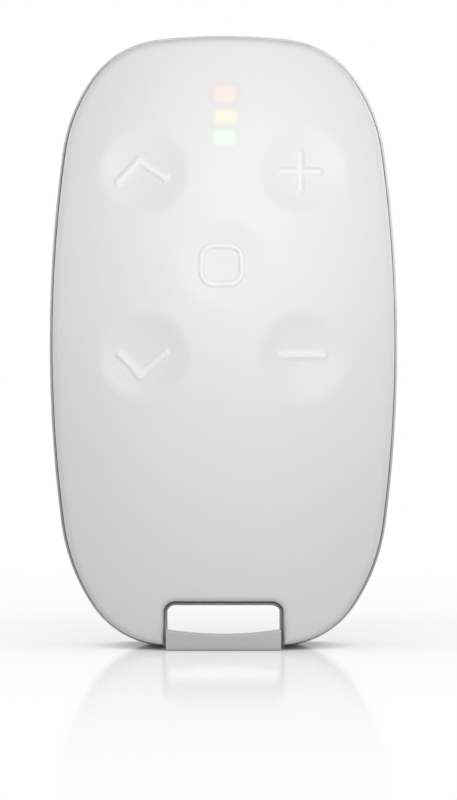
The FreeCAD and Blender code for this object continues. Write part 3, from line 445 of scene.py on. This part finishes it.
def make_cover():
    """The white cover: rounded edge, dished front with a hole at each key's skin, and wall to the seam."""
    bm = bmesh.new()
    rings, band_edges = edge_band(bm)
    collars = [collar(bm, key, key.start, COLLAR, COLLAR_STEPS)[1] for key in KEYS.values()]
    outer, *holes = front_grid(bm, rings[-1][0])
    fills = [outer + band_edges]
    for key, far in zip(KEYS.values(), collars):
        fills.append(min(holes, key=lambda edges: centre_gap(edges, key)) + edges_within(far))
    for edges in fills:
        bmesh.ops.triangle_fill(bm, use_beauty=True, use_dissolve=False, edges=edges, normal=(0, -1, 0))
    drape(bm.verts)
    for ring, drop in rings:
        for vert in ring:
            vert.co.y += drop
    foot, _ = extrude_edges(bm, [edge for edge in edges_within(rings[0][0]) if edge.is_boundary])
    for vert in foot:
        vert.co.y = 0.0
        if not in_notch(vert.co.x, vert.co.z, 0.01):
            vert.co += outline_normal(vert.co.x, vert.co.z) * (EDGE_INSET - WALL_INSET)
    face_front(bm)
    cover = finish_piece(bm, "soft_cover", "cover_white")
    wall = cover.modifiers.new("wall", "SOLIDIFY")
    wall.thickness = COVER_WALL * MM
    wall.offset = -1
    wall.use_even_offset = True
    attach(cover, "case")
    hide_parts("front_cover")


# The keys.

def make_cap(name):
    """The dished disc of a key with its raised sign, and the post under it."""
    key = KEYS[name]
    bm = bmesh.new()
    collar(bm, key, 0.0, key.reach, CAP_STEPS)
    drape(bm.verts)
    # The sign's share of its height, which also sets its painted highlight.
    raised = bm.verts.layers.float.new("raised")
    for vert in bm.verts:
        height = sign(name, vert.co.x, vert.co.z)
        vert[raised] = height / SIGN_HEIGHT[name]
        vert.co.y -= height
    face_front(bm)
    edges = [edge for edge in bm.edges if edge.is_boundary]
    under = pillow(key.x, key.z) + min(key.depth, DEEPEST_CAP) + CAP_WALL
    for radius, level in ((key.reach, under), (POST_RADIUS, under), (POST_RADIUS, POST_END)):
        verts, edges = extrude_edges(bm, edges)
        for vert in verts:
            away = Vector((vert.co.x - key.x, 0, vert.co.z - key.z)).normalized() * radius
            vert.co = Vector((key.x + away.x, level, key.z + away.z))
    bmesh.ops.edgeloop_fill(bm, edges=edges)
    bmesh.ops.recalc_face_normals(bm, faces=bm.faces)
    cap = finish_piece(bm, f"{name}_key_cap", "cover_white")
    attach(cap, f"{name}_button")
    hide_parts(f"{name}_key")


def make_skin(name):
    """The soft ring between a key's cap and the cover; where its stretch would start and end is worked out,
    then not used.
    """
    key = KEYS[name]
    bm = bmesh.new()
    inner, outer = collar(bm, key, key.reach, key.start, SKIN_STEPS)
    drape(bm.verts)
    face_front(bm)
    first = max(depth_below(vert.co, key.x, key.z) for vert in outer)
    last = min(depth_below(vert.co, key.x, key.z) for vert in inner)
    back = []
    for loop in [edges_within(inner), edges_within(outer)]:
        verts, edges = extrude_edges(bm, loop)
        bmesh.ops.translate(bm, vec=(0, SKIN_WALL, 0), verts=verts)
        back += edges
    bmesh.ops.bridge_loops(bm, edges=back)
    bmesh.ops.recalc_face_normals(bm, faces=bm.faces)
    skin = finish_piece(bm, f"{name}_soft_skin", "cover_white")
    inward = -front_normal(key.x, key.z)
    top = Vector((key.x, pillow(key.x, key.z), key.z))
    rest = (last - first) * SKIN_REST
    (top + inward * (first + rest)) * MM
    (top + inward * (last - rest)) * MM
    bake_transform(skin)


# The rear housing.

def make_housing():
    """The rear housing of the CAD model: smooth faces and a rounded outer lip, paled by painted light."""
    source = frame["nodes"]["rear_housing"]
    bm = bmesh.new()
    bm.from_mesh(source.data)
    bmesh.ops.transform(bm, matrix=Matrix.Scale(1 / MM, 4) @ source.matrix_world, verts=bm.verts)
    bmesh.ops.remove_doubles(bm, verts=bm.verts, dist=HAIR / 2)
    lip = [edge for edge in bm.edges if len(edge.link_faces) == 2
           and all(abs(vert.co.y) < HAIR and on_outline(vert.co.x, vert.co.z) for vert in edge.verts)
           and edge.calc_face_angle(0) > LIP_ANGLE]
    bmesh.ops.bevel(bm, geom=lip, offset=LIP_EDGE, offset_type="OFFSET", segments=4, profile=0.5,
                    affect="EDGES", material=-1, clamp_overlap=True)
    # Painted light: the lip pales towards the top, standing in for light that the cover's wall keeps off
    # it.
    raised = bm.verts.layers.float.new("raised")
    for vert in bm.verts:
        if -HAIR < vert.co.y < LIP_EDGE - ON_LINE and not in_notch(vert.co.x, vert.co.z):
            vert[raised] = smooth_step(vert.co.z, *LIP_LIGHT_FADE)
    housing = finish_piece(bm, "grey_housing", "housing_grey", angle=HOUSING_ANGLE)
    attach(housing, "case")
    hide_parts("rear_housing")


# Shader building.

class Socket:
    """A shader value that takes part in plain arithmetic, which adds Math nodes beside it."""

    def __init__(self, nodes, link):
        self.nodes, self.link = nodes, link

    def math(self, operation, *others):
        return self.nodes.math(operation, self, *others)

    def minimum(self, other):
        return self.math("MINIMUM", other)

    def maximum(self, other):
        return self.math("MAXIMUM", other)

    def __abs__(self):
        return self.math("ABSOLUTE")

    def __add__(self, other):
        return self.math("ADD", other)

    def __sub__(self, other):
        return self.math("SUBTRACT", other)

    def __mul__(self, other):
        return self.math("MULTIPLY", other)

    def __rsub__(self, other):
        return self.nodes.math("SUBTRACT", other, self)

    __radd__ = __add__
    __rmul__ = __mul__


class Nodes:
    """The node tree of a material or of the world, emptied but for its output."""

    def __init__(self, owner, output):
        owner.use_nodes = True
        self.tree = owner.node_tree
        self.tree.nodes.clear()
        self.out = self.tree.nodes.new(output)

    def fill(self, node, sockets):
        """Set or link a node's sockets, given by their name or by an underscore and their index."""
        for name, item in sockets.items():
            socket = node.inputs[int(name[1:]) if name[0] == "_" else name.replace("_", " ")]
            if isinstance(item, Socket):
                self.tree.links.new(item.link, socket)
            else:
                socket.default_value = item

    def node(self, kind, settings=None, output=0, **sockets):
        """Add a node: its settings first, then the values or links of its sockets."""
        node = self.tree.nodes.new(kind)
        for name, item in (settings or {}).items():
            setattr(node, name, item)
        self.fill(node, sockets)
        return Socket(self, node.outputs[output])

    def math(self, operation, *items):
        """Add a Math node on values and numbers, in their order."""
        sockets = {f"_{index}": item for index, item in enumerate(items)}
        return self.node("ShaderNodeMath", {"operation": operation}, **sockets)

    def end(self, shader):
        """Link the finished shader to the output."""
        self.tree.links.new(shader.link, self.out.inputs[0])

    def place(self):
        """Object coordinates, in metres."""
        return self.node("ShaderNodeTexCoord", output=3)

    def axes(self):
        """X, Y and Z of the place."""
        parts = self.node("ShaderNodeSeparateXYZ", Vector=self.place()).link.node
        return [Socket(self, part) for part in parts.outputs]

    def raised(self):
        """The share of painted light that pales a sign's top or the housing's lip, stored on the piece."""
        return self.node("ShaderNodeAttribute", {"attribute_name": "raised"}, output=2)

    def seen(self):
        """1 for what the camera sees, also as a reflection or through something clear."""
        path = self.node("ShaderNodeLightPath").link.node
        camera, glossy, clear = (Socket(self, path.outputs[f"Is {ray} Ray"])
                                 for ray in ("Camera", "Glossy", "Transmission"))
        return camera.maximum(glossy).maximum(clear)

    def rise(self, value, low, high, first=0.0, last=1.0, kind="SMOOTHSTEP"):
        """Go from first to last while value goes from low to high."""
        return self.node("ShaderNodeMapRange", {"interpolation_type": kind}, Value=value, From_Min=low,
                         From_Max=high, To_Min=first, To_Max=last)

    def grain(self, per_metre, detail=2.0, rough=0.5, vector=None):
        """Even noise, so many grains to the metre."""
        return self.node("ShaderNodeTexNoise", Scale=per_metre, Detail=detail, Roughness=rough,
                         Vector=vector or self.place())

    def bump(self, height, distance, strength):
        """Surface relief from a height, over a distance in metres."""
        return self.node("ShaderNodeBump", Height=height, Distance=distance, Strength=strength)

    def blend(self, factor, first, second, mode="MIX"):
        """Mix of two colours."""
        return self.node("ShaderNodeMix", {"data_type": "RGBA", "blend_type": mode}, output=2,
                         _0=factor, _6=first, _7=second)


class Finish(Nodes):
    """A material of one Principled shader, under construction."""

    def __init__(self, name, **constants):
        self.material = bpy.data.materials.new(name)
        super().__init__(self.material, "ShaderNodeOutputMaterial")
        self.shader = self.node("ShaderNodeBsdfPrincipled", **constants)
        self.end(self.shader)

    def set(self, **sockets):
        """Set or link sockets of the shader."""
        self.fill(self.shader.link.node, sockets)


def colour(*parts):
    return (*parts, 1.0)


def shades(tone, spread):
    """A darker and a lighter colour about a tone."""
    return (colour(*[part * (1 - spread) for part in tone]),
            colour(*[min(part * (1 + spread), 1) for part in tone]))


# Finishes.

# Pale tone of painted light: the highlight on the sign tops and the light on the housing's lip.
PAINTED_LIGHT_TONE = colour(0.93, 0.93, 0.93)
COVER_TONE = 0.845


def soft_cover_finish():
    """Satin soft-touch white with painted sign highlights, and three status lights glowing through it."""
    make = Finish("soft_touch_white", Specular_IOR_Level=0.4, Emission_Strength=1.0)
    x, y, z = make.axes()
    base = make.blend(make.grain(90.0, 3.0), colour(0.835, 0.835, 0.838), colour(0.85, 0.85, 0.852))
    # Painted highlight: the raised tops of the signs turn to the pale tone, as where they catch the light.
    base = make.blend(make.raised(), base, PAINTED_LIGHT_TONE)
    glow = None
    front = make.rise(y * -1.0, 0.004, 0.005)
    for across, up, half, glow_tint, light, glow_halo in LIGHTS.values():
        wide = (abs(x - across * MM) - LIGHT_CORE * MM).maximum(0.0)
        tall = (abs(z - up * MM) - (half - LIGHT_ROUND) * MM).maximum(0.0)
        far = (wide * wide + tall * tall).math("SQRT")
        ring = front * (1 - make.rise(far, *[edge * MM for edge in HALO_FADE]))
        mask = front * (1 - make.rise(far, *[edge * MM for edge in LIGHT_FADE]))
        # Painted glow: the halo and the core tint the cover's colour; the glow itself is also emitted.
        base = make.blend(ring, base, colour(*[COVER_TONE * part for part in glow_halo]))
        base = make.blend(mask, base, colour(*[COVER_TONE * part for part in glow_tint]))
        shine = make.blend(mask, colour(0, 0, 0), colour(*light))
        glow = make.blend(1.0, glow, shine, "ADD") if glow else shine
    fine = make.grain(9000.0)
    make.set(Base_Color=base, Emission_Color=glow, Roughness=0.44 + fine * 0.08 + make.grain(300.0) * 0.05,
             Normal=make.bump(fine, 0.000012, 0.5))
    return make.material


def moulded_finish(name, tone, roughness, spread=0.02, grain=5000.0, height=0.00002, edge=None):
    """Moulded plastic: fine even grain, a faint drift of tone and perhaps painted light paling an edge."""
    make = Finish(name)
    base = make.blend(make.grain(120.0, 3.0), *shades(tone, spread))
    # Painted light: where the piece stores a share, its colour turns to the pale tone.
    if edge:
        base = make.blend(make.raised(), base, edge)
    fine = make.grain(grain, 3.0)
    make.set(Base_Color=base, Roughness=roughness - 0.04 + fine * 0.08, Normal=make.bump(fine, height, 0.6))
    return make.material


def metal_finish(name, tone, roughness, streak=(60.0, 60.0, 4000.0)):
    """Metal with fine drawn streaks."""
    make = Finish(name, Metallic=1.0)
    lines = make.node("ShaderNodeMapping", Vector=make.place(), Scale=streak)
    drawn = make.grain(1.0, 4.0, 0.6, lines)
    make.set(Base_Color=make.blend(drawn, *shades(tone, 0.06)), Roughness=roughness - 0.08 + drawn * 0.16,
             Normal=make.bump(drawn, 0.000006, 0.4))
    return make.material


def lens_finish(name, tone, glow):
    """A small lit lens, clouded and a little uneven."""
    make = Finish(name, Emission_Strength=0.6)
    cloud = make.grain(2500.0)
    make.set(Base_Color=make.blend(cloud, colour(*[part * 0.9 for part in tone]), colour(*tone)),
             Roughness=0.2 + cloud * 0.1, Emission_Color=make.blend(cloud, colour(*glow), colour(*tone)))
    return make.material


def board_finish():
    """Green solder mask with faint copper runs under it."""
    make = Finish("solder_mask", Coat_Weight=0.4)
    x, _, z = make.axes()
    patches = make.node("ShaderNodeTexVoronoi", {"distance": "CHEBYCHEV", "feature": "F1"}, Scale=420.0,
                        Vector=make.place())
    runs = make.rise((x + z).math("PINGPONG", 0.0006), 0.00018, 0.00026, kind="LINEAR")
    copper = runs * make.rise(patches, 0.3, 0.45, kind="LINEAR")
    make.set(Base_Color=make.blend(copper, colour(0.02, 0.15, 0.06), colour(0.05, 0.26, 0.10)),
             Roughness=0.3 + copper * 0.12, Normal=make.bump(copper, 0.00003, 0.6))
    return make.material


def clear_finish():
    """Clear moulded plastic with a slight haze."""
    make = Finish("clear_moulding", Transmission_Weight=0.8, IOR=1.49)
    haze_and_shade = make.grain(600.0)
    make.set(Base_Color=make.blend(haze_and_shade, colour(0.86, 0.9, 0.9), colour(0.93, 0.96, 0.96)),
             Roughness=0.08 + haze_and_shade * 0.12)
    return make.material


# The record's material slots, and the finish of each.
finishes = {
    "cover_white": soft_cover_finish(),
    "frame_white": moulded_finish("frame_white", (0.78, 0.78, 0.77), 0.5),
    # The housing's pale tone is painted light on its lip.
    "housing_grey": moulded_finish("moulded_grey", (0.62, 0.62, 0.62), 0.5, 0.03, 4500.0, 0.00003,
                                   PAINTED_LIGHT_TONE),
    "clear_guide": clear_finish(),
    "red_light": lens_finish("red_lens", (0.95, 0.35, 0.3), (0.9, 0.2, 0.15)),
    "yellow_light": lens_finish("yellow_lens", (0.95, 0.82, 0.35), (0.9, 0.7, 0.2)),
    "green_light": lens_finish("green_lens", (0.4, 0.9, 0.45), (0.2, 0.8, 0.3)),
    "board_green": board_finish(),
    "chip_black": moulded_finish("chip_black", (0.03, 0.03, 0.032), 0.55, 0.15, 7000.0),
    "plunger_amber": moulded_finish("plunger_amber", (0.55, 0.33, 0.12), 0.45, 0.05, 6000.0, 0.00001),
    "bright_metal": metal_finish("satin_nickel", (0.75, 0.75, 0.74), 0.28),
    "cell_can": metal_finish("cell_can", (0.72, 0.72, 0.71), 0.3, (1500.0, 40.0, 1500.0)),
    "screw_steel": metal_finish("zinc_steel", (0.5, 0.5, 0.5), 0.35, (900.0, 900.0, 900.0)),
    "seal_rubber": moulded_finish("seal_rubber", (0.12, 0.12, 0.13), 0.7, 0.1),
}


def dress_nodes():
    """Give each carried-over node the finish of its slot in the record."""
    for row in frame["record"]["subparts"]:
        node = frame["nodes"][row["node"]]
        for place in node.material_slots:
            place.material = finishes[row["material_slot"]]
        if not node.material_slots:
            node.data.materials.append(finishes[row["material_slot"]])


# The stage: floor, light and camera, in metres.

# Fill from the world; reach and gain of the contact shadow; reach, depth and place of the painted shade
# behind the object; tone and edges of the faint painted shade band under it; strength and fading of the
# floor's reflection.
WORLD_FILL = 0.318
SHADOW_REACH, SHADOW_GAIN = 0.03, 2.0
BEHIND_SHADE_REACH, BEHIND_SHADE_DEPTH, BEHIND_SHADE_START, BEHIND_SHADE_FULL = 0.09, 0.5, -0.012, 0.004
SHADE_BAND_TONE, SHADE_BAND_NEAR, SHADE_BAND_FAR = 0.96, 0.012, 0.048
MIRROR, MIRROR_FADE = 0.33, 3.3
FLOOR_HALF, FLOOR_SHIFT = 40.0, 25.0

# Soft lamps: place, aim, size and power.
PANELS = {
    "key_panel": ((0.0075, -0.078, 0.061), (0.003, 0.0, 0.050), (0.03, 0.03), 0.0352),
    "left_strip": ((-0.20, 0.08, 0.10), (0.0, 0.0, 0.045), (0.04, 0.12), 0.13),
    "right_strip": ((0.20, 0.08, 0.10), (0.0, 0.0, 0.045), (0.04, 0.12), 0.15),
}

CAMERA_PLACE, CAMERA_NEAR = (0, -0.300, 0.035), 0.01
CAMERA_LENS, CAMERA_SENSOR = 123.6, 36.0
CAMERA_SHIFT = (0.00625, -0.0925)


def floor_finish():
    """White where the camera sees it, with contact shadow, painted shade behind the object, a faint painted
    shade band under it and a reflection that fades with distance; a plain pale floor for all other light."""
    material = bpy.data.materials.new("pale_floor")
    make = Nodes(material, "ShaderNodeOutputMaterial")
    _, back, _ = make.axes()
    away = make.node("ShaderNodeVectorMath", {"operation": "LENGTH"}, output=1, _0=make.place())
    near, far = (make.node("ShaderNodeAmbientOcclusion", {"samples": 16}, output=1, Distance=reach)
                 for reach in (SHADOW_REACH, BEHIND_SHADE_REACH))
    # Painted shade: the floor darkens behind the object and in a faint band under it, where its shadow
    # falls.
    haze_and_shade = (1 - far) * make.rise(back, BEHIND_SHADE_START, BEHIND_SHADE_FULL) * BEHIND_SHADE_DEPTH
    band = make.rise(abs(back), SHADE_BAND_NEAR, SHADE_BAND_FAR, SHADE_BAND_TONE, 1.0)
    white = make.node("ShaderNodeEmission", Strength=(near * SHADOW_GAIN).minimum(1.0) * (1 - haze_and_shade) * band)
    gloss = make.node("ShaderNodeBsdfAnisotropic", Roughness=0.1, Color=colour(1, 1, 1))
    shine = make.node("ShaderNodeMixShader", _0=(MIRROR - away * MIRROR_FADE).maximum(0.0), _1=white,
                      _2=gloss)
    plain = make.node("ShaderNodeBsdfDiffuse", Color=colour(0.8, 0.8, 0.8))
    make.end(make.node("ShaderNodeMixShader", _0=make.seen(), _1=plain, _2=shine))
    return material


def make_floor():
    """One wide square, shifted so that the seam between its two triangles stays out of view."""
    bm = bmesh.new()
    bmesh.ops.create_grid(bm, x_segments=1, y_segments=1, size=FLOOR_HALF,
                          matrix=Matrix.Translation((FLOOR_SHIFT, 0, 0)))
    mesh = bpy.data.meshes.new("pale_floor")
    bm.to_mesh(mesh)
    bm.free()
    mesh.materials.append(floor_finish())
    floor = bpy.data.objects.new("pale_floor", mesh)
    bpy.context.scene.collection.objects.link(floor)


def make_world():
    """White where the camera sees it, and an even soft fill on the object."""
    world = bpy.data.worlds.new("studio")
    bpy.context.scene.world = world
    make = Nodes(world, "ShaderNodeOutputWorld")
    strength = make.seen() * (1 - WORLD_FILL) + WORLD_FILL
    make.end(make.node("ShaderNodeBackground", Strength=strength, Color=colour(1, 1, 1)))


def add_panel(name, place, aim, size, power):
    """A soft rectangular lamp that the camera doesn't see."""
    light = bpy.data.lights.new(name, "AREA")
    light.shape = "RECTANGLE"
    light.size, light.size_y = size
    light.energy = power
    lamp = bpy.data.objects.new(name, light)
    bpy.context.scene.collection.objects.link(lamp)
    lamp.location = place
    lamp.rotation_euler = (Vector(aim) - Vector(place)).to_track_quat("-Z", "Y").to_euler()
    lamp.visible_camera = False


def make_camera():
    """Long lens, level with the middle of the object, shifted to the photograph's framing."""
    data = bpy.data.cameras.new("photo_camera")
    camera = bpy.data.objects.new("photo_camera", data)
    bpy.context.scene.collection.objects.link(camera)
    camera.location = CAMERA_PLACE
    camera.rotation_euler = (math.pi / 2, 0, 0)
    data.lens, data.sensor_width = CAMERA_LENS, CAMERA_SENSOR
    data.shift_x, data.shift_y = CAMERA_SHIFT
    data.clip_start = CAMERA_NEAR
    bpy.context.scene.camera = camera


# Everything, in order.

dress_nodes()
make_cover()
for key_name in KEYS:
    make_cap(key_name)
    make_skin(key_name)
make_housing()
make_floor()
make_world()
for panel_name, panel in PANELS.items():
    add_panel(panel_name, *panel)
make_camera()
bpy.context.scene.view_settings.view_transform = "Standard"
